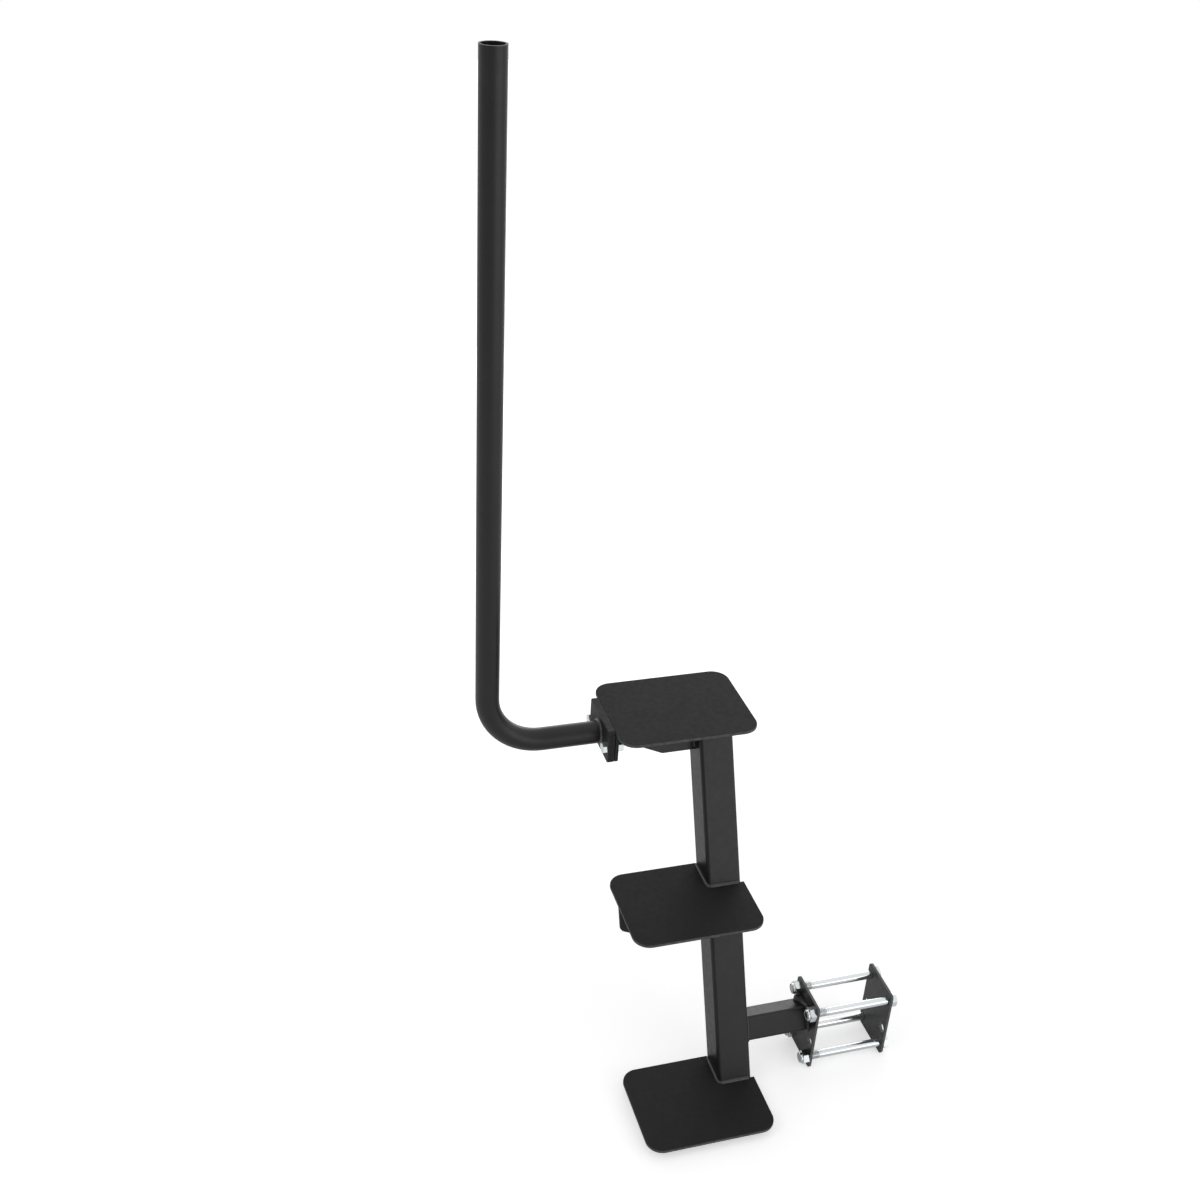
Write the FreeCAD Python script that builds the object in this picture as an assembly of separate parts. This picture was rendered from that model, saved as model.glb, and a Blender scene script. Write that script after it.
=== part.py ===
import FreeCAD, Part
import math
import os

from FreeCAD import Placement, Rotation, Vector

# Trailer ladder that bolts to a frame rail: a leaning square post carries three flat steps,
# a round hand pole is bolted to the top step, and a four-bolt clamp holds the rail.
# The frame's origin is the middle of the fixed clamp plate's bearing face.
# +X runs along the clamp bolts, from the fixed plate to the outer plate.
# +Y runs along the rail, towards the side that the post leans to. +Z is up.
# All sizes are in millimetres and angles in degrees.

# Post
POST_SIDE = 50.8
POST_WALL = 3.0
POST_CORNER = 5.0
POST_LEAN = 23.1

# Steps
STEP_WIDTH = 193.0
STEP_DEPTH = 152.4
STEP_THICKNESS = 4.8
STEP_CORNER = 24.0
STEP_PAST_POST = 4.6
TOP_STEP_WIDTH = 198.5
TOP_STEP_DEPTH = 155.5
TOP_STEP_PAST_POST = 8.2
LOWER_STEP_DROP = 44.0
LOWER_RISE = 278.0
UPPER_RISE = 260.5

# Gussets, with heights measured straight down from the step
GUSSET_THICKNESS = 4.8
GUSSET_END_HEIGHT = 54.0
GUSSET_POST_HEIGHT = 82.0
GUSSET_LEVEL_EDGE = 50.0
GUSSET_CORNER = 7.0
GUSSET_KNEE = 14.0
TOP_GUSSET_INSET = 18.0
MIDDLE_GUSSET_INSET = 9.0

# Hand pole, from the top step's left edge out to its upright and up from the level run,
# whose middle line is a drop below the step's top
POLE_DIAMETER = 31.75
POLE_WALL = 2.4
POLE_BEND = 76.2
POLE_REACH = 168.7
POLE_DROP = 25.4
POLE_HEIGHT = 893.0

# Flanges that join the hand pole to the top step
FLANGE_LENGTH = 88.9
FLANGE_HEIGHT = 50.8
FLANGE_CORNER = 4.0
HANDLE_FLANGE_THICKNESS = 9.5
STEP_FLANGE_THICKNESS = 4.8
FLANGE_GAP = 1.0
FLANGE_ABOVE_STEP = 2.0
FLANGE_BOLT_SPACING = 69.8
FLANGE_BOLT_DROP = 28.4

# Clamp plates and the arm that carries the fixed one
PLATE_WIDTH = 76.2
PLATE_HEIGHT = 120.6
PLATE_THICKNESS = 4.5
PLATE_CORNER = 6.0
CLAMP_GAP = 114.3
BOLT_SPACING_ACROSS = 56.0
BOLT_SPACING_UP = 88.4
SPARE_HOLE_DROP = 57.2
ARM_SIDE = 38.1
ARM_WALL = 3.0
ARM_CORNER = 4.0
ARM_LENGTH = 97.3
ARM_BACK = 5.2
ARM_RISE = 12.3

# Fasteners of the clamp
CLAMP_BOLT_DIAMETER = 12.7
CLAMP_BOLT_CORE = 11.8
CLAMP_BOLT_FLATS = 19.05
CLAMP_BOLT_HEAD = 7.9
CLAMP_BOLT_LENGTH = 136.0
CLAMP_HOLE_CLEARANCE = 0.8
LOCK_NUT_HEX_HEIGHT = 9.2
LOCK_NUT_COLLAR_HEIGHT = 3.6
LOCK_NUT_COLLAR_DIAMETER = 16.6
LOCK_NUT_COLLAR_ROUND = 1.8
LOCK_NUT_MOUTH_DIAMETER = 14.2
LOCK_NUT_MOUTH_DEPTH = 1.0

# Fasteners of the flanges
FLANGE_BOLT_DIAMETER = 9.5
FLANGE_BOLT_CORE = 8.8
FLANGE_BOLT_FLATS = 14.3
FLANGE_BOLT_HEAD = 6.1
FLANGE_BOLT_LENGTH = 24.5
FLANGE_HOLE_CLEARANCE = 0.4
FLANGE_NUT_HEIGHT = 8.3

# All fasteners
THREAD_LENGTH = 34.0
THREAD_CLEARANCE = 0.06
BOLT_END_CHAMFER = 0.8
HEX_CHAMFER_SHARE = 0.077
BOLT_TURN_STEP = 17.0

# Finish
EDGE_ROUND = 0.8
POLE_FIT = 0.1

# Directions: a leaning piece turns back about X, and an upright piece has its own Z along X
ACROSS = Vector(1, 0, 0)
LEAN_TURN = Rotation(ACROSS, -POST_LEAN)
UPRIGHT_TURN = Rotation(Vector(1, 1, 1), 120)
POINT_LEFT = Rotation(Vector(0, 1, 0), -90)
LEAN_SLOPE = math.tan(math.radians(POST_LEAN))
LEAN_COSINE = math.cos(math.radians(POST_LEAN))

# Places worked out from the sizes
FIXED_PLATE_LEFT = -PLATE_THICKNESS
POST_RIGHT = FIXED_PLATE_LEFT - ARM_LENGTH
POST_X = POST_RIGHT - POST_SIDE / 2
POST_HALF_DEPTH = POST_SIDE / 2 / LEAN_COSINE
STEP_RIGHT = POST_RIGHT + STEP_PAST_POST
STEP_LEFT = STEP_RIGHT - STEP_WIDTH
TOP_STEP_RIGHT = POST_RIGHT + TOP_STEP_PAST_POST
TOP_STEP_LEFT = TOP_STEP_RIGHT - TOP_STEP_WIDTH
LOWER_STEP_TOP = -LOWER_STEP_DROP
MIDDLE_STEP_TOP = LOWER_STEP_TOP + LOWER_RISE
TOP_STEP_TOP = MIDDLE_STEP_TOP + UPPER_RISE
TOP_STEP_UNDERSIDE = TOP_STEP_TOP - STEP_THICKNESS
POLE_Z = TOP_STEP_TOP - POLE_DROP
FLANGE_BOLT_Z = TOP_STEP_TOP - FLANGE_BOLT_DROP
FLANGE_TOP = TOP_STEP_TOP + FLANGE_ABOVE_STEP
FLANGE_BOTTOM = FLANGE_TOP - FLANGE_HEIGHT
STEP_FLANGE_HEIGHT = TOP_STEP_UNDERSIDE - FLANGE_BOTTOM
POLE_END = TOP_STEP_LEFT - FLANGE_GAP
HANDLE_FLANGE_LEFT = POLE_END - HANDLE_FLANGE_THICKNESS
OUTER_PLATE_RIGHT = CLAMP_GAP + PLATE_THICKNESS
CLAMP_HOLE_RADIUS = CLAMP_BOLT_DIAMETER / 2 + CLAMP_HOLE_CLEARANCE
FLANGE_HOLE_RADIUS = FLANGE_BOLT_DIAMETER / 2 + FLANGE_HOLE_CLEARANCE
SPARE_HOLE_Z = BOLT_SPACING_UP / 2 - SPARE_HOLE_DROP


def post_axis_y(z):
    """Y of the post's middle line at a height: it passes through the clamp arm's axis."""
    return ARM_BACK + LEAN_SLOPE * (z - ARM_RISE)


def step_back_y(step_top):
    """Y of a step's back edge, flush with the post's back face at the step's top."""
    return post_axis_y(step_top) + POST_HALF_DEPTH


FLANGE_Y = step_back_y(TOP_STEP_TOP) - TOP_STEP_DEPTH / 2


def rounded_outline(corners):
    """Closed wire in the XY plane through (x, y, radius) corners, with an arc at each radius."""
    edges = []
    start = None
    first = None
    for index, (x, y, radius) in enumerate(corners):
        corner = Vector(x, y, 0)
        before = Vector(*corners[index - 1][:2], 0)
        after = Vector(*corners[(index + 1) % len(corners)][:2], 0)
        arrive = (before - corner).normalize()
        leave = (after - corner).normalize()
        arc_start = corner
        arc_end = corner
        if radius > 0:
            half_angle = arrive.getAngle(leave) / 2
            inward = (arrive + leave).normalize()
            arc_start = corner + arrive * (radius / math.tan(half_angle))
            arc_end = corner + leave * (radius / math.tan(half_angle))
            arc_middle = corner + inward * (radius / math.sin(half_angle) - radius)
        if start is None:
            first = arc_start
        else:
            edges.append(Part.LineSegment(start, arc_start).toShape())
        if radius > 0:
            edges.append(Part.Arc(arc_start, arc_middle, arc_end).toShape())
        start = arc_end
    edges.append(Part.LineSegment(start, first).toShape())
    return Part.Wire(edges)


def rounded_rectangle(width, depth, radius):
    """Face of a rectangle about the origin, with round corners."""
    x = width / 2
    y = depth / 2
    corners = [(-x, -y, radius), (x, -y, radius), (x, y, radius), (-x, y, radius)]
    return Part.Face(rounded_outline(corners))


def plate(width, depth, thickness, radius):
    """Flat plate that stands on the XY plane, with softened top and bottom edges."""
    blank = rounded_rectangle(width, depth, radius).extrude(Vector(0, 0, thickness))
    level = [edge for edge in blank.Edges if edge.BoundBox.ZLength < thickness / 2]
    return blank.makeFillet(EDGE_ROUND, level)


def upright_plate(length, height, thickness, radius, left_x, middle_y, middle_z):
    """Plate square to X, with its left face at left_x."""
    blank = plate(length, height, thickness, radius)
    blank.Placement = Placement(Vector(left_x, middle_y, middle_z), UPRIGHT_TURN)
    return blank


def drill(shape, radius, places):
    """Cut a hole along X right through a shape at each (y, z) place."""
    box = shape.BoundBox
    for y, z in places:
        start = Vector(box.XMin - 1, y, z)
        shape = shape.cut(Part.makeCylinder(radius, box.XLength + 2, start, ACROSS))
    return shape


def square_tube(side, wall, radius, length):
    """Square tube along Z from the origin up."""
    inner_radius = max(radius - wall, wall / 4)
    outer = rounded_rectangle(side, side, radius)
    inner = rounded_rectangle(side - 2 * wall, side - 2 * wall, inner_radius)
    return outer.cut(inner).extrude(Vector(0, 0, length))


def between_levels(shape, low, high):
    """Saw a shape level at two heights."""
    box = shape.BoundBox
    corner = Vector(box.XMin - 1, box.YMin - 1, low)
    return shape.common(Part.makeBox(box.XLength + 2, box.YLength + 2, high - low, corner))


def lean_place(z_along=0.0):
    """Placement of the post's own axes: X across, Y to its back face, Z along it."""
    along = LEAN_TURN.multVec(Vector(0, 0, z_along))
    return Placement(Vector(POST_X, ARM_BACK, ARM_RISE) + along, LEAN_TURN)


def along_post(z):
    """Distance along the post's middle line from the clamp arm's axis to a height."""
    return (z - ARM_RISE) / LEAN_COSINE


def make_post():
    bottom = LOWER_STEP_TOP - STEP_THICKNESS
    spare = POST_SIDE
    start = along_post(bottom) - spare
    length = along_post(TOP_STEP_UNDERSIDE) - start + spare
    tube = square_tube(POST_SIDE, POST_WALL, POST_CORNER, length)
    tube.Placement = lean_place(start)
    return between_levels(tube, bottom, TOP_STEP_UNDERSIDE)


def step_blank(width, depth, right_x, step_top):
    """Flat step whose back edge is flush with the post's back face."""
    middle_y = step_back_y(step_top) - depth / 2
    blank = plate(width, depth, STEP_THICKNESS, STEP_CORNER)
    blank.translate(Vector(right_x - width / 2, middle_y, step_top - STEP_THICKNESS))
    return blank


def make_notched_step(step_top):
    """Step with its back right corner cut away, where the post passes."""
    blank = step_blank(STEP_WIDTH, STEP_DEPTH, STEP_RIGHT, step_top)
    reach = STEP_WIDTH + STEP_DEPTH
    notch = Part.makeBox(reach, reach, 2 * reach, Vector(-POST_SIDE / 2, -POST_SIDE / 2, -reach))
    notch.Placement = lean_place(along_post(step_top))
    return blank.cut(notch)


def make_gusset(step_top, end_x):
    """Tapered plate in the post's own plane that holds up a step from below."""
    underside = step_top - STEP_THICKNESS
    right = -POST_SIDE / 2
    left = end_x - POST_X
    knee = right - GUSSET_LEVEL_EDGE
    above = GUSSET_THICKNESS
    deep = -GUSSET_POST_HEIGHT / LEAN_COSINE
    shallow = -GUSSET_END_HEIGHT / LEAN_COSINE
    outline = rounded_outline([
        (right, above, 0),
        (left, above, 0),
        (left, shallow, GUSSET_CORNER),
        (knee, deep, GUSSET_KNEE),
        (right, deep, 0),
    ])
    blank = Part.Face(outline).extrude(Vector(0, 0, GUSSET_THICKNESS))
    blank.rotate(Vector(0, 0, 0), ACROSS, 90)
    blank.translate(Vector(0, GUSSET_THICKNESS / 2, 0))
    blank.Placement = lean_place(along_post(underside)).multiply(blank.Placement)
    return between_levels(blank, blank.BoundBox.ZMin - 1, underside)


def swept_round(path, radius):
    """Solid round bar along a path that starts in the direction of -X."""
    start = path.Vertexes[0].Point
    section = Part.Wire(Part.makeCircle(radius, start, ACROSS))
    return path.makePipeShell([section], True, False)


def make_hand_pole():
    """Bent round tube: a level run out of the flange, one bend and a long upright."""
    upright_x = TOP_STEP_LEFT - POLE_REACH
    bend_middle = Vector(upright_x + POLE_BEND, FLANGE_Y, POLE_Z + POLE_BEND)
    run_start = Vector(POLE_END, FLANGE_Y, POLE_Z)
    bend_start = bend_middle - Vector(0, 0, POLE_BEND)
    bend_end = bend_middle - Vector(POLE_BEND, 0, 0)
    bend_half = bend_middle - Vector(1, 0, 1).normalize() * POLE_BEND
    top = Vector(upright_x, FLANGE_Y, POLE_Z + POLE_HEIGHT)
    path = Part.Wire([
        Part.LineSegment(run_start, bend_start).toShape(),
        Part.Arc(bend_start, bend_half, bend_end).toShape(),
        Part.LineSegment(bend_end, top).toShape(),
    ])
    outer = swept_round(path, POLE_DIAMETER / 2)
    inner = swept_round(path, POLE_DIAMETER / 2 - POLE_WALL)
    return outer.cut(inner)


def flange_bolt_places():
    half = FLANGE_BOLT_SPACING / 2
    return {"front": (FLANGE_Y - half, FLANGE_BOLT_Z), "back": (FLANGE_Y + half, FLANGE_BOLT_Z)}


def make_handle_flange():
    middle_z = FLANGE_TOP - FLANGE_HEIGHT / 2
    blank = upright_plate(FLANGE_LENGTH, FLANGE_HEIGHT, HANDLE_FLANGE_THICKNESS, FLANGE_CORNER,
                          HANDLE_FLANGE_LEFT, FLANGE_Y, middle_z)
    blank = drill(blank, POLE_DIAMETER / 2 + POLE_FIT, [(FLANGE_Y, POLE_Z)])
    return drill(blank, FLANGE_HOLE_RADIUS, flange_bolt_places().values())


def make_step_flange():
    middle_z = TOP_STEP_UNDERSIDE - STEP_FLANGE_HEIGHT / 2
    blank = upright_plate(FLANGE_LENGTH, STEP_FLANGE_HEIGHT, STEP_FLANGE_THICKNESS, FLANGE_CORNER,
                          TOP_STEP_LEFT, FLANGE_Y, middle_z)
    return drill(blank, FLANGE_HOLE_RADIUS, flange_bolt_places().values())


def clamp_bolt_places():
    """Name and (y, z) of each clamp bolt."""
    places = {}
    for row, z in (("upper", BOLT_SPACING_UP / 2), ("lower", -BOLT_SPACING_UP / 2)):
        for side, y in (("front", -BOLT_SPACING_ACROSS / 2), ("back", BOLT_SPACING_ACROSS / 2)):
            places[row + "_" + side] = (y, z)
    return places


def make_clamp_plate(left_x):
    blank = upright_plate(PLATE_WIDTH, PLATE_HEIGHT, PLATE_THICKNESS, PLATE_CORNER, left_x, 0, 0)
    spares = [(y, SPARE_HOLE_Z) for y in (-BOLT_SPACING_ACROSS / 2, BOLT_SPACING_ACROSS / 2)]
    return drill(blank, CLAMP_HOLE_RADIUS, list(clamp_bolt_places().values()) + spares)


def make_clamp_arm():
    tube = square_tube(ARM_SIDE, ARM_WALL, ARM_CORNER, ARM_LENGTH)
    tube.Placement = Placement(Vector(POST_RIGHT, ARM_BACK, ARM_RISE), LEAN_TURN.multiply(UPRIGHT_TURN))
    return tube


def hexagon(flats, height, chamfered_low, chamfered_high):
    """Hexagon bar up Z from the origin, with the turned-off corners of a nut or bolt head."""
    corner_radius = flats / 2 / math.cos(math.radians(30))
    points = []
    for step in range(7):
        angle = math.radians(60 * step)
        points.append(Vector(math.cos(angle), math.sin(angle), 0) * corner_radius)
    prism = Part.Face(Part.makePolygon(points)).extrude(Vector(0, 0, height))
    turned = Part.makeCylinder(corner_radius, height)
    rims = []
    for edge in turned.Edges:
        at_low = edge.BoundBox.ZMax < height / 4
        at_high = edge.BoundBox.ZMin > height * 3 / 4
        if (at_low and chamfered_low) or (at_high and chamfered_high):
            rims.append(edge)
    chamfer = HEX_CHAMFER_SHARE * flats
    fall = chamfer * math.tan(math.radians(30))
    return prism.common(turned.makeChamfer(fall, chamfer, rims))


def make_bolt(diameter, core, flats, head_height, length, turn):
    """Hexagon bolt along Z: the head's bearing face is at the origin and the shank points up."""
    thread_length = min(length, THREAD_LENGTH)
    plain = length - thread_length
    head = hexagon(flats, head_height, True, False)
    head.translate(Vector(0, 0, -head_height))
    head.rotate(Vector(0, 0, 0), Vector(0, 0, 1), turn)
    thread = Part.makeCylinder(core / 2, thread_length, Vector(0, 0, plain))
    tip = [edge for edge in thread.Edges if edge.BoundBox.ZMin > length - thread_length / 4]
    bolt = head.fuse(thread.makeChamfer(BOLT_END_CHAMFER, tip))
    if plain > 0:
        bolt = bolt.fuse(Part.makeCylinder(diameter / 2, plain))
    return bolt.removeSplitter()


def make_clamp_bolt(turn):
    return make_bolt(CLAMP_BOLT_DIAMETER, CLAMP_BOLT_CORE, CLAMP_BOLT_FLATS, CLAMP_BOLT_HEAD,
                     CLAMP_BOLT_LENGTH, turn)


def make_flange_bolt(turn):
    return make_bolt(FLANGE_BOLT_DIAMETER, FLANGE_BOLT_CORE, FLANGE_BOLT_FLATS, FLANGE_BOLT_HEAD,
                     FLANGE_BOLT_LENGTH, turn)


def bore_thread(nut, core, height, turn):
    """Bore a nut for a bolt's thread and give it its turn."""
    nut = nut.cut(Part.makeCylinder(core / 2 + THREAD_CLEARANCE, height + 2, Vector(0, 0, -1)))
    nut.rotate(Vector(0, 0, 0), Vector(0, 0, 1), turn)
    return nut


def make_flange_nut(turn):
    nut = hexagon(FLANGE_BOLT_FLATS, FLANGE_NUT_HEIGHT, True, True)
    return bore_thread(nut, FLANGE_BOLT_CORE, FLANGE_NUT_HEIGHT, turn)


def make_lock_nut(turn):
    """Hexagon lock nut with a round collar, whose open mouth holds the locking ring."""
    height = LOCK_NUT_HEX_HEIGHT + LOCK_NUT_COLLAR_HEIGHT
    body = hexagon(CLAMP_BOLT_FLATS, LOCK_NUT_HEX_HEIGHT, False, True)
    collar = Part.makeCylinder(LOCK_NUT_COLLAR_DIAMETER / 2, height)
    rim = [edge for edge in collar.Edges if edge.BoundBox.ZMin > LOCK_NUT_HEX_HEIGHT]
    nut = body.fuse(collar.makeFillet(LOCK_NUT_COLLAR_ROUND, rim))
    floor = Vector(0, 0, height - LOCK_NUT_MOUTH_DEPTH)
    nut = nut.cut(Part.makeCylinder(LOCK_NUT_MOUTH_DIAMETER / 2, 2 * LOCK_NUT_MOUTH_DEPTH, floor))
    return bore_thread(nut, CLAMP_BOLT_CORE, height, turn)


def placed(shape, x, y, z, rotation):
    shape.Placement = Placement(Vector(x, y, z), rotation).multiply(shape.Placement)
    return shape


def make_frame():
    """The welded ladder frame and the parts of the hand pole."""
    return {
        "post": make_post(),
        "lower_step": make_notched_step(LOWER_STEP_TOP),
        "middle_step": make_notched_step(MIDDLE_STEP_TOP),
        "top_step": step_blank(TOP_STEP_WIDTH, TOP_STEP_DEPTH, TOP_STEP_RIGHT, TOP_STEP_TOP),
        "middle_step_gusset": make_gusset(MIDDLE_STEP_TOP, STEP_LEFT + MIDDLE_GUSSET_INSET),
        "top_step_gusset": make_gusset(TOP_STEP_TOP, TOP_STEP_LEFT + TOP_GUSSET_INSET),
        "step_flange": make_step_flange(),
        "handle_flange": make_handle_flange(),
        "hand_pole": make_hand_pole(),
        "clamp_arm": make_clamp_arm(),
        "clamp_fixed_plate": make_clamp_plate(FIXED_PLATE_LEFT),
        "clamp_outer_plate": make_clamp_plate(CLAMP_GAP),
    }


def make_fasteners():
    """Bolts and nuts, each turned a little further than the last."""
    pieces = {}
    turn = 0.0
    for side, (y, z) in flange_bolt_places().items():
        turn += BOLT_TURN_STEP
        bolt = make_flange_bolt(turn)
        pieces["flange_bolt_" + side] = placed(bolt, HANDLE_FLANGE_LEFT, y, z, UPRIGHT_TURN)
        nut = make_flange_nut(turn)
        pieces["flange_nut_" + side] = placed(nut, TOP_STEP_LEFT + STEP_FLANGE_THICKNESS, y, z, UPRIGHT_TURN)
    for name, (y, z) in clamp_bolt_places().items():
        turn += BOLT_TURN_STEP
        bolt = make_clamp_bolt(turn)
        pieces["clamp_bolt_" + name] = placed(bolt, OUTER_PLATE_RIGHT, y, z, POINT_LEFT)
        nut = make_lock_nut(turn)
        pieces["clamp_nut_" + name] = placed(nut, FIXED_PLATE_LEFT, y, z, POINT_LEFT)
    return pieces


os.makedirs("parts", exist_ok=True)
nodes = {**make_frame(), **make_fasteners()}
for node, shape in nodes.items():
    shape.exportStep("parts/" + node + ".step")
    print(node, len(shape.Solids), "solid", round(shape.Volume), "mm3, valid", shape.isValid())
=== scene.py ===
import math

import bpy
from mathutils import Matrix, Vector, noise


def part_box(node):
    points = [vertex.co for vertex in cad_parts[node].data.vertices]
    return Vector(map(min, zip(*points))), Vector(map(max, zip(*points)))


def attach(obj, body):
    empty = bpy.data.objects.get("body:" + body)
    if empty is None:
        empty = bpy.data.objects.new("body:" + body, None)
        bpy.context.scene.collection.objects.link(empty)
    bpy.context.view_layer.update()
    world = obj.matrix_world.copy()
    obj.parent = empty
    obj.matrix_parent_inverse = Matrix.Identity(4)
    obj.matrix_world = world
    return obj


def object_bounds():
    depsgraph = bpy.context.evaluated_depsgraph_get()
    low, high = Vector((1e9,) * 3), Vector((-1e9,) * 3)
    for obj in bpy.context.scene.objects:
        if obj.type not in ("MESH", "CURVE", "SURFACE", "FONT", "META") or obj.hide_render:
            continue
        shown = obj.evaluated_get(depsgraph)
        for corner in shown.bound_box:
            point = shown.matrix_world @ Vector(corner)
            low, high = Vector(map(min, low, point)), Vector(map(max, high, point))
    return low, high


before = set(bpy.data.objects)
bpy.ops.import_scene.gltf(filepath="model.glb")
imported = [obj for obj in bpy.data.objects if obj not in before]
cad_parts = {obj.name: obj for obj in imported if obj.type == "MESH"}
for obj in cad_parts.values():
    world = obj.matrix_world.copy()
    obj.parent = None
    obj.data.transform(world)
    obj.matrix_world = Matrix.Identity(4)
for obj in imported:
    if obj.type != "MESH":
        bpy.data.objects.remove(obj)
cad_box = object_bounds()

# Trailer ladder: black powder coat on the welded frame, bright zinc on the bolts and nuts.
# The scene adds weld beads, screw threads and the lock nuts' nylon rings. Lengths are in metres.

MM = 0.001

# Sizes that the added pieces share with the solids
LEAN = math.radians(23.1)
POST_SIDE = 50.8 * MM
POST_CORNER = 5.0 * MM
GUSSET_THICKNESS = 4.8 * MM
GUSSET_POST_HEIGHT = 82.0 * MM
ARM_SIDE = 38.1 * MM
ARM_CORNER = 4.0 * MM
ARM_BACK = 5.2 * MM
ARM_RISE = 12.3 * MM
POLE_RADIUS = 31.75 / 2 * MM
CLAMP_THREAD_CORE = 11.8 / 2 * MM
CLAMP_THREAD_CREST = 12.6 / 2 * MM
CLAMP_THREAD_PITCH = 25.4 / 13 * MM
CLAMP_THREAD_LENGTH = 34.0 * MM
FLANGE_THREAD_CORE = 8.8 / 2 * MM
FLANGE_THREAD_CREST = 9.4 / 2 * MM
FLANGE_THREAD_PITCH = 25.4 / 16 * MM
BOLT_END_CHAMFER = 0.8 * MM
NUT_MOUTH_RADIUS = 14.2 / 2 * MM
NUT_MOUTH_DEPTH = 1.0 * MM

# Directions
ALONG_POST = Vector((0, math.sin(LEAN), math.cos(LEAN)))
BEHIND_POST = Vector((0, math.cos(LEAN), -math.sin(LEAN)))
LEFT = Vector((-1, 0, 0))
RIGHT = Vector((1, 0, 0))
BACK = Vector((0, 1, 0))
DOWN = Vector((0, 0, -1))

# Noises of the materials: scale on a metre, and detail
TONE_NOISE = (24, 4)
DUST_NOISE = (620, 2)
GLOSS_NOISE = (140, 3)
PEEL_NOISE = (260, 2)
EDGE_NOISE = (180, 4)
RIM_NOISE = (120, 4)
CAST_NOISE = (60, 2)
LINE_NOISE = (900, 2)
NYLON_NOISE = (400, 3)
GRAIN_DETAIL = 3
NOISE_MIDDLE = (0.3, 0.7)
EVEN = (1, 1, 1)
DRAWN_OUT = (0.05, 1, 1)

# Powder coat: where its tones and its dust start and end on their noises, and its fine relief
TONE_ENDS = (0.3, 0.72)
DUST_ENDS = (0.66, 0.76)
DUST_COLOUR = (0.05, 0.05, 0.052, 1)
DUST_SHARE = 0.35
PEEL_STRENGTH = 0.25
PEEL_DEPTH = 0.12 * MM
GRAIN_STRENGTH = 0.5

# Painted highlights on the coat's edges and rims: the cosines at which the painted highlight starts and is
# full, and its amounts
EDGE_HIGHLIGHT_COLOUR = (0.13, 0.13, 0.133, 1)
HIGHLIGHT_REACH = 1.6 * MM
HIGHLIGHT_SAMPLES = 6
EDGE_COSINES = (0.995, 0.85)
EDGE_AMOUNTS = (0.35, 1.0)
RIM_COSINES = (0.9, 0.5)
RIM_AMOUNTS = (0.45, 1.0)

# Zinc and nylon: colours by their place on the noise, fine relief and gloss
ZINC_CAST = ((0.3, (0.68, 0.73, 0.75)), (0.5, (0.75, 0.78, 0.79)), (0.72, (0.81, 0.82, 0.81)))
LINE_STRENGTH = 0.12
LINE_DEPTH = 0.04 * MM
NYLON_TONES = ((0.3, (0.56, 0.57, 0.55)), (0.7, (0.70, 0.71, 0.69)))
NYLON_ROUGHNESS = (0.38, 0.5)
NYLON_MILKINESS = 0.2
NYLON_DEPTH = (0.6 * MM, 0.6 * MM, 0.5 * MM)

# Weld beads
BEAD_LEG = 3.4 * MM
ARM_POST_LEG = 2.6 * MM
POLE_LEG = 3.6 * MM
BEAD_BULGE = 0.9 * MM
BEAD_PITCH = 2.6 * MM
BEAD_STATION = 0.55 * MM
BEAD_FEWEST_STATIONS = 8
BEAD_ACROSS = 7
BEAD_SINK = 0.5 * MM
BEAD_END = 3.0 * MM
BEAD_END_SHARE = 0.3
BEAD_WANDER = 0.12
WANDER_SCALE = 130
RIPPLE_BOW = 0.55
RIPPLE_LOW = 0.65
BLOB_LEG = 11.5 * MM
BLOB_LENGTH = 11.0 * MM
BLOB_AT = 0.1
CORNER_STEPS = 6
POLE_STEPS = 48
BARE_SIDE = 0.3
FLANGE_BEAD_INSET = 4.0 * MM

# Rolled threads: flanks steeper than a plain wave, and flat crests
THREAD_AROUND = 32
THREAD_ROWS = 8
THREAD_SINK = 0.03 * MM
FLANK_STEEPNESS = 1.25
CREST_FLATNESS = 1.3
BOLT_END_COVER = 0.05 * MM

# Nylon rings: the section's corners as shares of the ring's width and of the mouth's depth
RING_AROUND = 40
RING_THREAD_GAP = 0.1 * MM
RING_MOUTH_GAP = 0.02 * MM
RING_SECTION = ((0, 1), (0, 0.35), (0.3, 0.15), (0.75, 0.12), (1, 0.3), (1, 1))

# Floor: its glow grows with the distance from the origin
FLOOR_DROP = 0.5 * MM
FLOOR_REACH = 8.0
FLOOR_COLOUR = (0.86, 0.86, 0.86, 1)
FLOOR_ROUGHNESS = 0.9
FLOOR_DISTANCES = (0.4, 1.9)
FLOOR_GLOWS = (0.53, 0.85)
FLOOR_MIRRORED = 0.3

# Surroundings: the darker side, the cosines between which they darken, and how they light matt surfaces
DARK_SIDE = Vector((-0.75, -0.55, 0.35)).normalized()
DARK_COSINES = (0.25, 0.9)
DARK_STRENGTH = 0.25
MATT_STRENGTH = 0.6
WHITE = (1, 1, 1, 1)

# Lamps: name, place, size and power in watts
LAMPS = (
    ("key", (-2.6, -0.6, 2.4), 2.0, 18),
    ("fill", (1.6, -2.4, 0.4), 3.2, 29),
    ("rim", (1.0, 2.7, 0.6), 2.0, 17),
)

# Camera
CAMERA_PLACE = (-0.81778, -1.42177, 1.63000)
CAMERA_TURN = (58.6257, -2.7325, -16.1719)
CAMERA_SENSOR = 36
CAMERA_LENS = 43.9886
CAMERA_SHIFT = (0.0, 0.0333)
CAMERA_NEAR = 0.05
CAMERA_FAR = 50


# Materials

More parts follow.
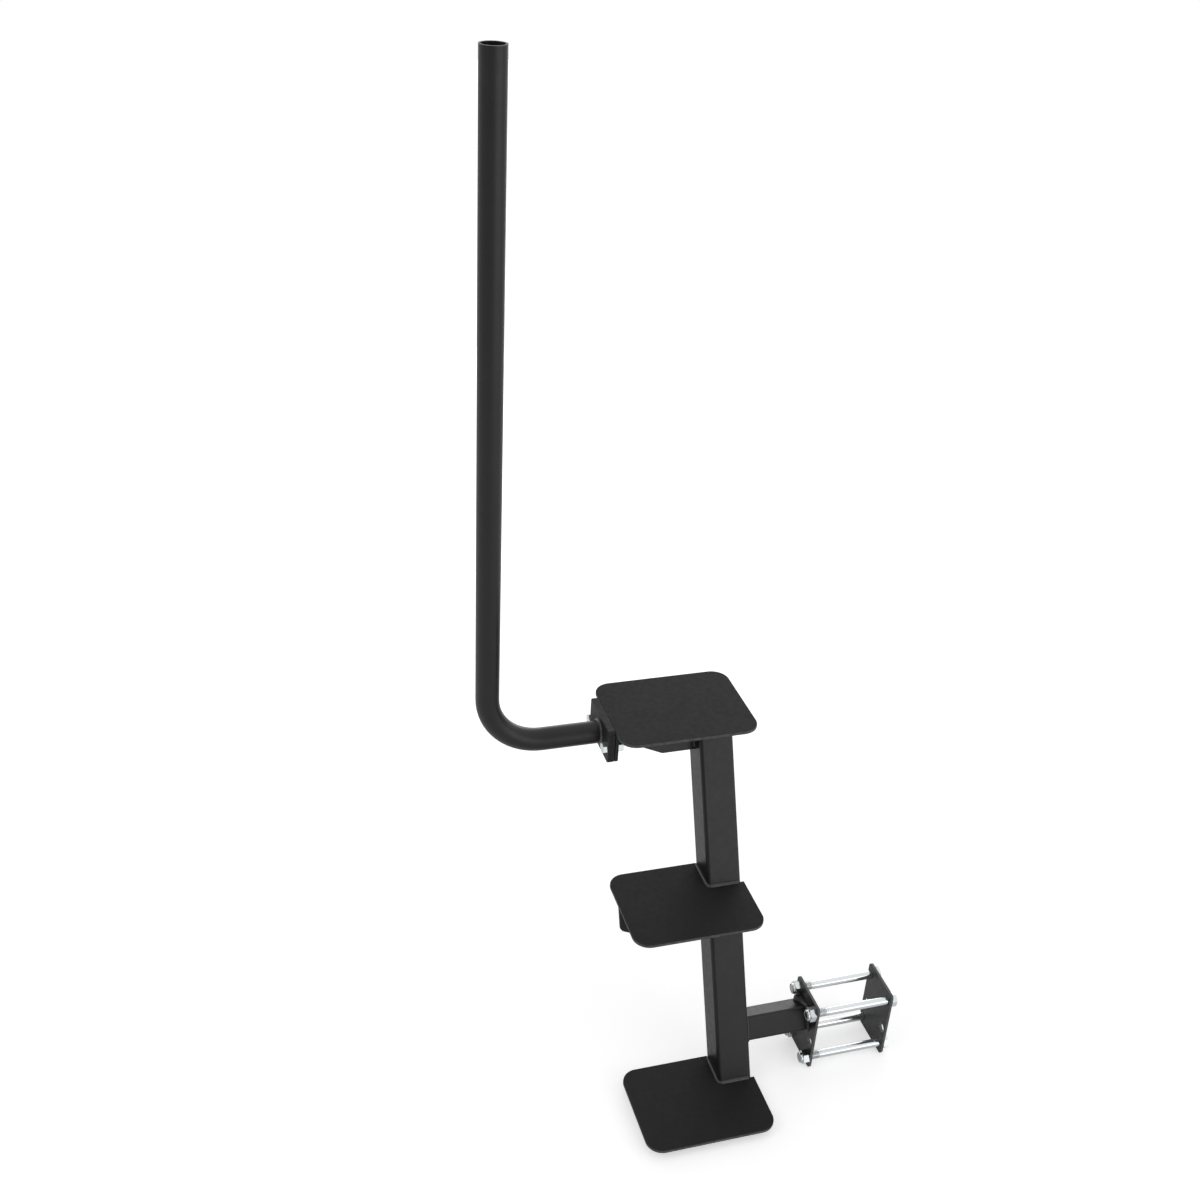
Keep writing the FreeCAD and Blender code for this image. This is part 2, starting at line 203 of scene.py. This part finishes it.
class Tree:
    """Short calls that add linked nodes to the node tree of a material or a world."""

    def __init__(self, owner):
        owner.use_nodes = True
        self.nodes = owner.node_tree.nodes
        self.links = owner.node_tree.links

    def add(self, kind):
        return self.nodes.new("ShaderNode" + kind)

    def feed(self, socket, value):
        """Link an output to a socket, or set the socket to a plain value."""
        if isinstance(value, bpy.types.NodeSocket):
            self.links.new(value, socket)
        else:
            socket.default_value = value

    def result(self, kind, operation, *values):
        """Number that a Math or VectorMath node works out from the values."""
        node = self.add(kind)
        node.operation = operation
        for socket, value in zip(node.inputs, values):
            self.feed(socket, value)
        return node.outputs["Value"]

    def map_range(self, value, given, wanted=(0, 1)):
        """Value moved from one range to another, and held inside it."""
        node = self.add("MapRange")
        for name, number in zip(("From Min", "From Max", "To Min", "To Max"), (*given, *wanted)):
            node.inputs[name].default_value = number
        self.feed(node.inputs["Value"], value)
        return node.outputs["Result"]

    def spread(self, value, wanted):
        """Middle of a noise mapped onto a range."""
        return self.map_range(value, NOISE_MIDDLE, wanted)

    def noise_at(self, place, scale, detail, stretch=EVEN):
        """Noise over a place, drawn out by stretch."""
        mapping = self.add("Mapping")
        mapping.inputs["Scale"].default_value = stretch
        self.feed(mapping.inputs["Vector"], place)
        texture = self.add("TexNoise")
        texture.inputs["Scale"].default_value = scale
        texture.inputs["Detail"].default_value = detail
        self.feed(texture.inputs["Vector"], mapping.outputs["Vector"])
        return texture.outputs["Fac"]

    def ramp(self, value, stops):
        """Colour ramp through (position, colour) stops."""
        node = self.add("ValToRGB")
        elements = node.color_ramp.elements
        elements[0].position = stops[0][0]
        elements[1].position = stops[-1][0]
        for position, _ in stops[1:-1]:
            elements.new(position)
        for element, (_, colour) in zip(elements, stops):
            element.color = (*colour, 1)
        self.feed(node.inputs["Fac"], value)
        return node.outputs["Color"]

    def mix(self, share, first, second):
        """Blend of two colours."""
        node = self.add("Mix")
        node.data_type = "RGBA"
        self.feed(node.inputs["Factor"], share)
        self.feed(node.inputs["A"], first)
        self.feed(node.inputs["B"], second)
        return node.outputs["Result"]

    def bump(self, height, strength, distance, before=None):
        """Normal with a relief on it, over an earlier relief where one is given."""
        node = self.add("Bump")
        node.inputs["Strength"].default_value = strength
        node.inputs["Distance"].default_value = distance
        self.feed(node.inputs["Height"], height)
        if before is not None:
            self.feed(node.inputs["Normal"], before)
        return node.outputs["Normal"]


def new_material(name):
    """Node material with its tree, its shader and the row frame's coordinates."""
    material = bpy.data.materials.new(name)
    tree = Tree(material)
    return material, tree, tree.nodes["Principled BSDF"], tree.add("TexCoord").outputs["Object"]


def painted_edge_highlight(tree, place):
    """1 along edges, which get a painted highlight, and 0 elsewhere, broken up by noise."""
    rounded = tree.add("Bevel")
    rounded.samples = HIGHLIGHT_SAMPLES
    rounded.inputs["Radius"].default_value = HIGHLIGHT_REACH
    surface = tree.add("NewGeometry")
    facing = tree.result("VectorMath", "DOT_PRODUCT", rounded.outputs["Normal"], surface.outputs["Normal"])
    edge = tree.map_range(facing, EDGE_COSINES)
    broken = tree.spread(tree.noise_at(place, *EDGE_NOISE), EDGE_AMOUNTS)
    return tree.result("Math", "MULTIPLY", edge, broken)


def painted_rim_highlight(tree, place, edge, across):
    """Painted highlight on the edges that also takes in the rim faces of a plate, where across is the axis
    through its thickness.
    """
    parts = tree.add("SeparateXYZ")
    tree.feed(parts.inputs["Vector"], tree.add("NewGeometry").outputs["Normal"])
    level = tree.result("Math", "ABSOLUTE", parts.outputs[across])
    # faces whose normal lies across that axis, the plate's rim, take the painted highlight
    rim = tree.map_range(level, RIM_COSINES)
    broken = tree.spread(tree.noise_at(place, *RIM_NOISE), RIM_AMOUNTS)
    rim_highlight = tree.result("Math", "MULTIPLY", rim, broken)
    return tree.result("Math", "MAXIMUM", rim_highlight, edge)


def powder_coat(name, dark, light, roughness, grain, grain_depth, specular, across=None):
    """Satin black coat: fine orange peel, slow tone changes, faint pale dust and a painted highlight along
    its edges.
    """
    material, tree, shader, place = new_material(name)
    tone = tree.ramp(tree.noise_at(place, *TONE_NOISE), list(zip(TONE_ENDS, (dark, light))))
    speck = tree.ramp(tree.noise_at(place, *DUST_NOISE), list(zip(DUST_ENDS, ((0, 0, 0), (1, 1, 1)))))
    dusty = tree.mix(tree.result("Math", "MULTIPLY", speck, DUST_SHARE), tone, DUST_COLOUR)
    # edges, and plate rims where across is given, get a painted highlight: the coat is lightened towards a
    # pale grey there
    painted_highlight = painted_edge_highlight(tree, place)
    if across:
        painted_highlight = painted_rim_highlight(tree, place, painted_highlight, across)
    tree.feed(shader.inputs["Base Color"], tree.mix(painted_highlight, dusty, EDGE_HIGHLIGHT_COLOUR))
    gloss = tree.noise_at(place, *GLOSS_NOISE)
    tree.feed(shader.inputs["Roughness"], tree.spread(gloss, roughness))
    peel = tree.bump(tree.noise_at(place, *PEEL_NOISE), PEEL_STRENGTH, PEEL_DEPTH)
    rough = tree.bump(tree.noise_at(place, grain, GRAIN_DETAIL), GRAIN_STRENGTH, grain_depth, peel)
    tree.feed(shader.inputs["Normal"], rough)
    shader.inputs["Specular IOR Level"].default_value = specular
    return material


def zinc_plate(name, stretch, roughness, shade):
    """Bright zinc: drawn or even lines, a faint cool and warm cast and uneven gloss."""
    material, tree, shader, place = new_material(name)
    stops = [(position, [part * shade for part in colour]) for position, colour in ZINC_CAST]
    cast = tree.ramp(tree.noise_at(place, *CAST_NOISE, stretch), stops)
    tree.feed(shader.inputs["Base Color"], cast)
    lines = tree.noise_at(place, *LINE_NOISE, stretch)
    tree.feed(shader.inputs["Roughness"], tree.spread(lines, roughness))
    tree.feed(shader.inputs["Normal"], tree.bump(lines, LINE_STRENGTH, LINE_DEPTH))
    shader.inputs["Metallic"].default_value = 1.0
    return material


def nylon(name):
    """Milky nylon of the lock nuts' rings, with a little mottling."""
    material, tree, shader, place = new_material(name)
    mottle = tree.noise_at(place, *NYLON_NOISE)
    tree.feed(shader.inputs["Base Color"], tree.ramp(mottle, NYLON_TONES))
    tree.feed(shader.inputs["Roughness"], tree.spread(mottle, NYLON_ROUGHNESS))
    shader.inputs["Subsurface Weight"].default_value = NYLON_MILKINESS
    shader.inputs["Subsurface Radius"].default_value = NYLON_DEPTH
    return material


tube_coat = powder_coat(
    "satin_black_coat", dark=(0.009, 0.009, 0.0093), light=(0.013, 0.013, 0.0133),
    roughness=(0.33, 0.42), grain=900, grain_depth=0.05 * MM, specular=0.38)
step_coat = powder_coat(
    "textured_black_coat", dark=(0.0125, 0.0125, 0.0129), light=(0.0158, 0.0158, 0.0163),
    roughness=(0.58, 0.68), grain=1100, grain_depth=0.1 * MM, specular=0.21, across="Z")
plate_coat = powder_coat(
    "black_coat_on_plate", dark=(0.014, 0.014, 0.0144), light=(0.020, 0.020, 0.0205),
    roughness=(0.33, 0.43), grain=800, grain_depth=0.1 * MM, specular=0.45, across="X")
matt_coat = powder_coat(
    "matt_black_coat", dark=(0.011, 0.011, 0.0114), light=(0.0145, 0.0145, 0.0149),
    roughness=(0.5, 0.62), grain=750, grain_depth=0.12 * MM, specular=0.28)
# the weld beads carry the frame's black coat with a base colour about three times as light: a painted
# highlight for the light the beads catch
weld_coat_painted_lighter = powder_coat(
    "black_coat_on_weld_painted_lighter", dark=(0.028, 0.028, 0.0287), light=(0.044, 0.044, 0.045),
    roughness=(0.28, 0.38), grain=800, grain_depth=0.05 * MM, specular=0.6)
zinc_drawn = zinc_plate("zinc_on_drawn_shank", DRAWN_OUT, roughness=(0.09, 0.18), shade=1.0)
zinc_pressed = zinc_plate("zinc_on_pressed_nut", EVEN, roughness=(0.14, 0.24), shade=0.95)
zinc_rolled = zinc_plate("zinc_on_rolled_thread", EVEN, roughness=(0.26, 0.38), shade=0.62)
ring_nylon = nylon("nylon_ring")


def paint(piece, material):
    piece.data.materials.clear()
    piece.data.materials.append(material)


def finish_of(name):
    """Material of a solid, by its name."""
    if "bolt" in name:
        return zinc_drawn
    if "nut" in name:
        return zinc_pressed
    if name.endswith("_step"):
        return step_coat
    if name.endswith("_plate"):
        return plate_coat
    if name.endswith("_flange") or name == "middle_step_gusset":
        return matt_coat
    return tube_coat


for name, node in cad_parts.items():
    paint(node, finish_of(name))


# Shared shapes

def mesh_piece(name, vertices, faces, material, body):
    """New mesh that rides on a body, smooth but for its flat end caps."""
    mesh = bpy.data.meshes.new(name)
    mesh.from_pydata(vertices, [], faces)
    mesh.update()
    for polygon in mesh.polygons:
        polygon.use_smooth = len(polygon.vertices) == 4
    piece = bpy.data.objects.new(name, mesh)
    bpy.context.scene.collection.objects.link(piece)
    paint(piece, material)
    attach(piece, body)


def ring_faces(stations, around, closed):
    """Quads of a tube of rings, with its ends capped where it isn't closed."""
    faces = []
    for i in range(stations if closed else stations - 1):
        here = i * around
        there = (i + 1) % stations * around
        for j in range(around):
            k = (j + 1) % around
            faces.append((here + j, here + k, there + k, there + j))
    if not closed:
        faces.append(tuple(reversed(range(around))))
        faces.append(tuple((stations - 1) * around + j for j in range(around)))
    return faces


def circle(steps):
    """(cosine, sine) of evenly spaced angles round a circle."""
    angles = [2 * math.pi * step / steps for step in range(steps)]
    return [(math.cos(angle), math.sin(angle)) for angle in angles]


def rounded_square(half, radius):
    """(u, v, normal u, normal v) round a square with round corners, from its +u side towards +v."""
    points = []
    for quarter, (side_u, side_v) in enumerate(((1, 1), (-1, 1), (-1, -1), (1, -1))):
        centre_u = side_u * (half - radius)
        centre_v = side_v * (half - radius)
        for step in range(CORNER_STEPS + 1):
            angle = math.radians(90 * (quarter + step / CORNER_STEPS))
            normal_u = math.cos(angle)
            normal_v = math.sin(angle)
            points.append((centre_u + radius * normal_u, centre_v + radius * normal_v, normal_u, normal_v))
    return points


def low_corner(node):
    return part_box(node)[0]


def high_corner(node):
    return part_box(node)[1]


# Weld beads

def resample(corners, closed):
    """Evenly spaced (point, side, lift, distance) stations along a path of corners, and its length."""
    path = list(corners)
    if closed:
        path.append(corners[0])
    lengths = [(b[0] - a[0]).length for a, b in zip(path, path[1:])]
    total = sum(lengths)
    count = max(BEAD_FEWEST_STATIONS, round(total / BEAD_STATION))
    stations = []
    index = 0
    passed = 0.0
    for i in range(count if closed else count + 1):
        distance = total * i / count
        while index < len(lengths) - 1 and distance > passed + lengths[index]:
            passed += lengths[index]
            index += 1
        share = (distance - passed) / lengths[index] if lengths[index] else 0.0
        point, side, lift = [a.lerp(b, share) for a, b in zip(path[index], path[index + 1])]
        stations.append((point, side.normalized(), lift.normalized(), distance))
    return stations, total


def bead_rings(corners, closed, leg, blob_at):
    """Vertices of a rippled fillet weld whose legs run along side and lift, and its number of rings."""
    stations, total = resample(corners, closed)
    pitch = total / max(1, round(total / BEAD_PITCH))
    vertices = []
    for point, side, lift, distance in stations:
        size = leg * (1 + BEAD_WANDER * noise.noise(point * WANDER_SCALE))
        if not closed:
            near_end = min(distance, total - distance) / BEAD_END
            rounding = math.sqrt(min(1.0, near_end * (2 - min(near_end, 1.0))))
            size *= BEAD_END_SHARE + (1 - BEAD_END_SHARE) * rounding
        if blob_at is not None:
            off = (distance - blob_at * total) / BLOB_LENGTH
            size += (BLOB_LEG - leg) * math.exp(-off * off)
        outward = (side + lift).normalized()
        for j in range(BEAD_ACROSS):
            across = j / (BEAD_ACROSS - 1)
            crown = math.sin(math.pi * across)
            phase = (distance / pitch + RIPPLE_BOW * crown) % 1.0
            ripple = RIPPLE_LOW + (1 - RIPPLE_LOW) * math.sqrt(1 - (2 * phase - 1) ** 2)
            rise = BEAD_BULGE * size / leg * crown * ripple
            vertices.append(point + side * size * (1 - across) + lift * size * across + outward * rise)
        vertices.append(point - outward * BEAD_SINK)
    return vertices, len(stations)


def bead(name, corners, closed=False, leg=BEAD_LEG, blob_at=None):
    """Weld bead along (point, side, lift) corners, with a heavy start at blob_at of its length."""
    vertices, stations = bead_rings(corners, closed, leg, blob_at)
    faces = ring_faces(stations, BEAD_ACROSS + 1, closed)
    mesh_piece(name, vertices, faces, weld_coat_painted_lighter, "ladder")


def straight_bead(name, start, end, side, lift):
    bead(name, [(start, side, lift), (end, side, lift)])


POST_LEFT = low_corner("post").x
POST_RIGHT = high_corner("post").x


def post_point(z):
    """Middle of the post at a height."""
    return Vector(((POST_LEFT + POST_RIGHT) / 2, ARM_BACK + math.tan(LEAN) * (z - ARM_RISE), z))


def post_outline(z):
    """Corners of the post's outline on a level plane: (point, outward direction)."""
    middle = post_point(z)
    corners = []
    for u, v, normal_u, normal_v in rounded_square(POST_SIDE / 2, POST_CORNER):
        level = Vector((u, v / math.cos(LEAN), 0))
        corners.append((middle + level, Vector((normal_u, normal_v, 0)).normalized()))
    return corners


def arm_outline(x):
    """Corners of the clamp arm's outline across it: (point, outward direction)."""
    middle = Vector((x, ARM_BACK, ARM_RISE))
    corners = []
    for u, v, normal_u, normal_v in rounded_square(ARM_SIDE / 2, ARM_CORNER):
        out = BEHIND_POST * normal_u + ALONG_POST * normal_v
        corners.append((middle + BEHIND_POST * u + ALONG_POST * v, out))
    return corners


def weld_steps():
    """Beads on the post's front and left at the notched steps, and on its right too under the top step."""
    places = (
        ("middle_step", "over", high_corner, ALONG_POST),
        ("middle_step", "under", low_corner, -ALONG_POST),
        ("lower_step", "over", high_corner, ALONG_POST),
    )
    for name, where, corner, lift in places:
        outline = post_outline(corner(name).z)
        kept = [(point, out, lift) for point, out in outline if max(out.x, out.y) < BARE_SIDE]
        bead(f"weld_{name}_{where}", kept)
    outline = post_outline(low_corner("top_step").z)
    quarter = len(outline) // 4
    from_left = outline[quarter:] + outline[:quarter]
    kept = [(point, out, -ALONG_POST) for point, out in from_left if out.y < BARE_SIDE]
    bead("weld_top_step_under", kept)


def weld_gussets():
    """Beads on both faces of each gusset, along its step and along the post."""
    half = GUSSET_THICKNESS / 2
    for step in ("middle_step", "top_step"):
        gusset = step + "_gusset"
        middle = post_point(low_corner(step).z)
        for where, way in (("front", -1), ("back", 1)):
            left_end = middle + BACK * way * half / math.cos(LEAN)
            right_end = left_end.copy()
            left_end.x = low_corner(gusset).x + BEAD_END
            right_end.x = POST_LEFT - BEAD_LEG
            straight_bead(f"weld_{gusset}_top_{where}", left_end, right_end, BACK * way, -ALONG_POST)
            across = BEHIND_POST * way
            high = middle + across * half - ALONG_POST * BEAD_LEG
            low = high - ALONG_POST * (GUSSET_POST_HEIGHT / math.cos(LEAN) - 2 * BEAD_LEG)
            high.x = POST_LEFT
            low.x = POST_LEFT
            straight_bead(f"weld_{gusset}_post_{where}", high, low, LEFT, across)


def weld_arm():
    """Beads round both ends of the clamp arm, with the heavy start of the bead at the plate."""
    at_post = [(point, out, RIGHT) for point, out in arm_outline(POST_RIGHT)]
    bead("weld_arm_post", at_post, closed=True, leg=ARM_POST_LEG)
    at_plate = [(point, out, LEFT) for point, out in arm_outline(low_corner("clamp_fixed_plate").x)]
    bead("weld_arm_plate", at_plate, closed=True, blob_at=BLOB_AT)


def weld_hand_pole():
    """Bead round the hand pole at its flange."""
    low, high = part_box("hand_pole")
    middle = Vector((low_corner("handle_flange").x, (low.y + high.y) / 2, low.z + POLE_RADIUS))
    ring = []
    for cosine, sine in circle(POLE_STEPS):
        out = Vector((0, cosine, sine))
        ring.append((middle + out * POLE_RADIUS, out, LEFT))
    bead("weld_pole_flange", ring, closed=True, leg=POLE_LEG)


def weld_step_flange():
    """Bead under the top step along the inner side of its flange."""
    low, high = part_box("step_flange")
    z = low_corner("top_step").z
    start = Vector((high.x, low.y + FLANGE_BEAD_INSET, z))
    end = Vector((high.x, high.y - FLANGE_BEAD_INSET, z))
    straight_bead("weld_step_flange", start, end, RIGHT, DOWN)


weld_steps()
weld_gussets()
weld_arm()
weld_hand_pole()
weld_step_flange()


# Screw threads and nylon rings

def thread(name, tip, inward, length, core, crest, pitch, body):
    """Rolled thread over a bolt's end: inward points from the tip to the head."""
    turn = inward.to_track_quat("Z", "Y").to_matrix()
    start = tip - inward * BOLT_END_COVER
    rows = round(length / pitch * THREAD_ROWS)
    vertices = []
    for row in range(rows + 1):
        height = length * row / rows
        run_out = min(height - BOLT_END_CHAMFER, length - height - pitch) / pitch
        depth = (crest - core) * max(0.0, min(1.0, run_out))
        for j, (cosine, sine) in enumerate(circle(THREAD_AROUND)):
            phase = (height / pitch - j / THREAD_AROUND) % 1.0
            ridge = max(0.0, 1 - abs(2 * phase - 1) * FLANK_STEEPNESS)
            radius = core - THREAD_SINK + depth * min(1.0, ridge * CREST_FLATNESS)
            if height < BOLT_END_CHAMFER:
                radius -= BOLT_END_CHAMFER - height
            vertices.append(start + turn @ Vector((radius * cosine, radius * sine, height)))
    faces = ring_faces(rows + 1, THREAD_AROUND, False)
    mesh_piece(name, vertices, faces, zinc_rolled, body)


def nylon_ring(name, middle, outward):
    """Nylon ring in the mouth of a lock nut's collar, clear of the thread."""
    turn = outward.to_track_quat("Z", "Y").to_matrix()
    inner = CLAMP_THREAD_CREST + RING_THREAD_GAP
    width = NUT_MOUTH_RADIUS - RING_MOUTH_GAP - inner
    vertices = []
    for cosine, sine in circle(RING_AROUND):
        for across, down in RING_SECTION:
            radius = inner + width * across
            local = Vector((radius * cosine, radius * sine, -NUT_MOUTH_DEPTH * down))
            vertices.append(middle + turn @ local)
    faces = ring_faces(RING_AROUND, len(RING_SECTION), True)
    mesh_piece(name, vertices, faces, ring_nylon, "ladder")


def add_threads_and_rings():
    """Threads on the ends of the bolts, and a ring in each lock nut of the clamp."""
    for name in sorted(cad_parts):
        low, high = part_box(name)
        left_end = Vector((low.x, (low.y + high.y) / 2, (low.z + high.z) / 2))
        right_end = Vector((high.x, left_end.y, left_end.z))
        if name.startswith("clamp_bolt"):
            thread("thread_" + name, left_end, RIGHT, CLAMP_THREAD_LENGTH,
                   CLAMP_THREAD_CORE, CLAMP_THREAD_CREST, CLAMP_THREAD_PITCH, "clamp_jaw")
        if name.startswith("flange_bolt"):
            bare = high.x - high_corner("step_flange").x
            thread("thread_" + name, right_end, LEFT, bare,
                   FLANGE_THREAD_CORE, FLANGE_THREAD_CREST, FLANGE_THREAD_PITCH, "ladder")
        if name.startswith("clamp_nut"):
            nylon_ring("ring_" + name, left_end, LEFT)


add_threads_and_rings()


# Floor, light and camera

def mirror_rays(tree, path):
    """1 for rays from glossy or clear surfaces."""
    glossy = path.outputs["Is Glossy Ray"]
    clear = path.outputs["Is Transmission Ray"]
    return tree.result("Math", "MAXIMUM", glossy, clear)


def seen_directly(tree, mirrored):
    """1 for rays from the camera, mirrored for rays from glossy or clear surfaces and 0 for the rest."""
    path = tree.add("LightPath")
    share = tree.result("Math", "MULTIPLY", mirror_rays(tree, path), mirrored)
    return tree.result("Math", "MAXIMUM", path.outputs["Is Camera Ray"], share)


def add_floor():
    """Pale floor just under the part that brightens to white for the camera and keeps shadows."""
    z = cad_box[0].z - FLOOR_DROP
    corners = [(x * FLOOR_REACH, y * FLOOR_REACH, z) for x, y in ((-1, -1), (1, -1), (1, 1), (-1, 1))]
    mesh = bpy.data.meshes.new("floor")
    mesh.from_pydata(corners, [], [(0, 1, 2, 3)])
    floor = bpy.data.objects.new("floor", mesh)
    bpy.context.scene.collection.objects.link(floor)
    material, tree, shader, place = new_material("pale_floor")
    shader.inputs["Base Color"].default_value = FLOOR_COLOUR
    shader.inputs["Roughness"].default_value = FLOOR_ROUGHNESS
    shader.inputs["Specular IOR Level"].default_value = 0.0
    shader.inputs["Emission Color"].default_value = WHITE
    distance = tree.result("VectorMath", "LENGTH", place)
    brightness = tree.map_range(distance, FLOOR_DISTANCES, FLOOR_GLOWS)
    glow = tree.result("Math", "MULTIPLY", seen_directly(tree, FLOOR_MIRRORED), brightness)
    tree.feed(shader.inputs["Emission Strength"], glow)
    paint(floor, material)


def add_world():
    """White surroundings, darker on one side, that light matt surfaces more softly than they look."""
    world = bpy.data.worlds.new("studio")
    bpy.context.scene.world = world
    tree = Tree(world)
    background = tree.nodes["Background"]
    background.inputs["Color"].default_value = WHITE
    direction = tree.add("TexCoord").outputs["Generated"]
    facing = tree.result("VectorMath", "DOT_PRODUCT", direction, DARK_SIDE)
    wall = tree.map_range(facing, DARK_COSINES, (1.0, DARK_STRENGTH))
    path = tree.add("LightPath")
    softer = tree.map_range(mirror_rays(tree, path), (0, 1), (MATT_STRENGTH, 1.0))
    lit = tree.result("Math", "MULTIPLY", wall, softer)
    seen = tree.result("Math", "MAXIMUM", lit, path.outputs["Is Camera Ray"])
    tree.feed(background.inputs["Strength"], seen)


def add_lamp(name, place, target, size, power):
    """Square lamp turned towards a target, which the camera doesn't see."""
    lamp = bpy.data.lights.new(name, "AREA")
    lamp.shape = "SQUARE"
    lamp.size = size
    lamp.energy = power
    piece = bpy.data.objects.new(name, lamp)
    piece.location = place
    piece.rotation_euler = (Vector(target) - Vector(place)).to_track_quat("-Z", "Y").to_euler()
    piece.visible_camera = False
    bpy.context.scene.collection.objects.link(piece)


def add_camera():
    data = bpy.data.cameras.new("camera")
    data.sensor_width = CAMERA_SENSOR
    data.lens = CAMERA_LENS
    data.shift_x, data.shift_y = CAMERA_SHIFT
    data.clip_start = CAMERA_NEAR
    data.clip_end = CAMERA_FAR
    camera = bpy.data.objects.new("camera", data)
    camera.location = CAMERA_PLACE
    camera.rotation_euler = [math.radians(angle) for angle in CAMERA_TURN]
    bpy.context.scene.collection.objects.link(camera)
    bpy.context.scene.camera = camera


add_floor()
add_world()
part_middle = (cad_box[0] + cad_box[1]) / 2
for name, place, size, power in LAMPS:
    add_lamp(name, place, part_middle, size, power)
add_camera()
bpy.context.scene.view_settings.view_transform = "Standard"
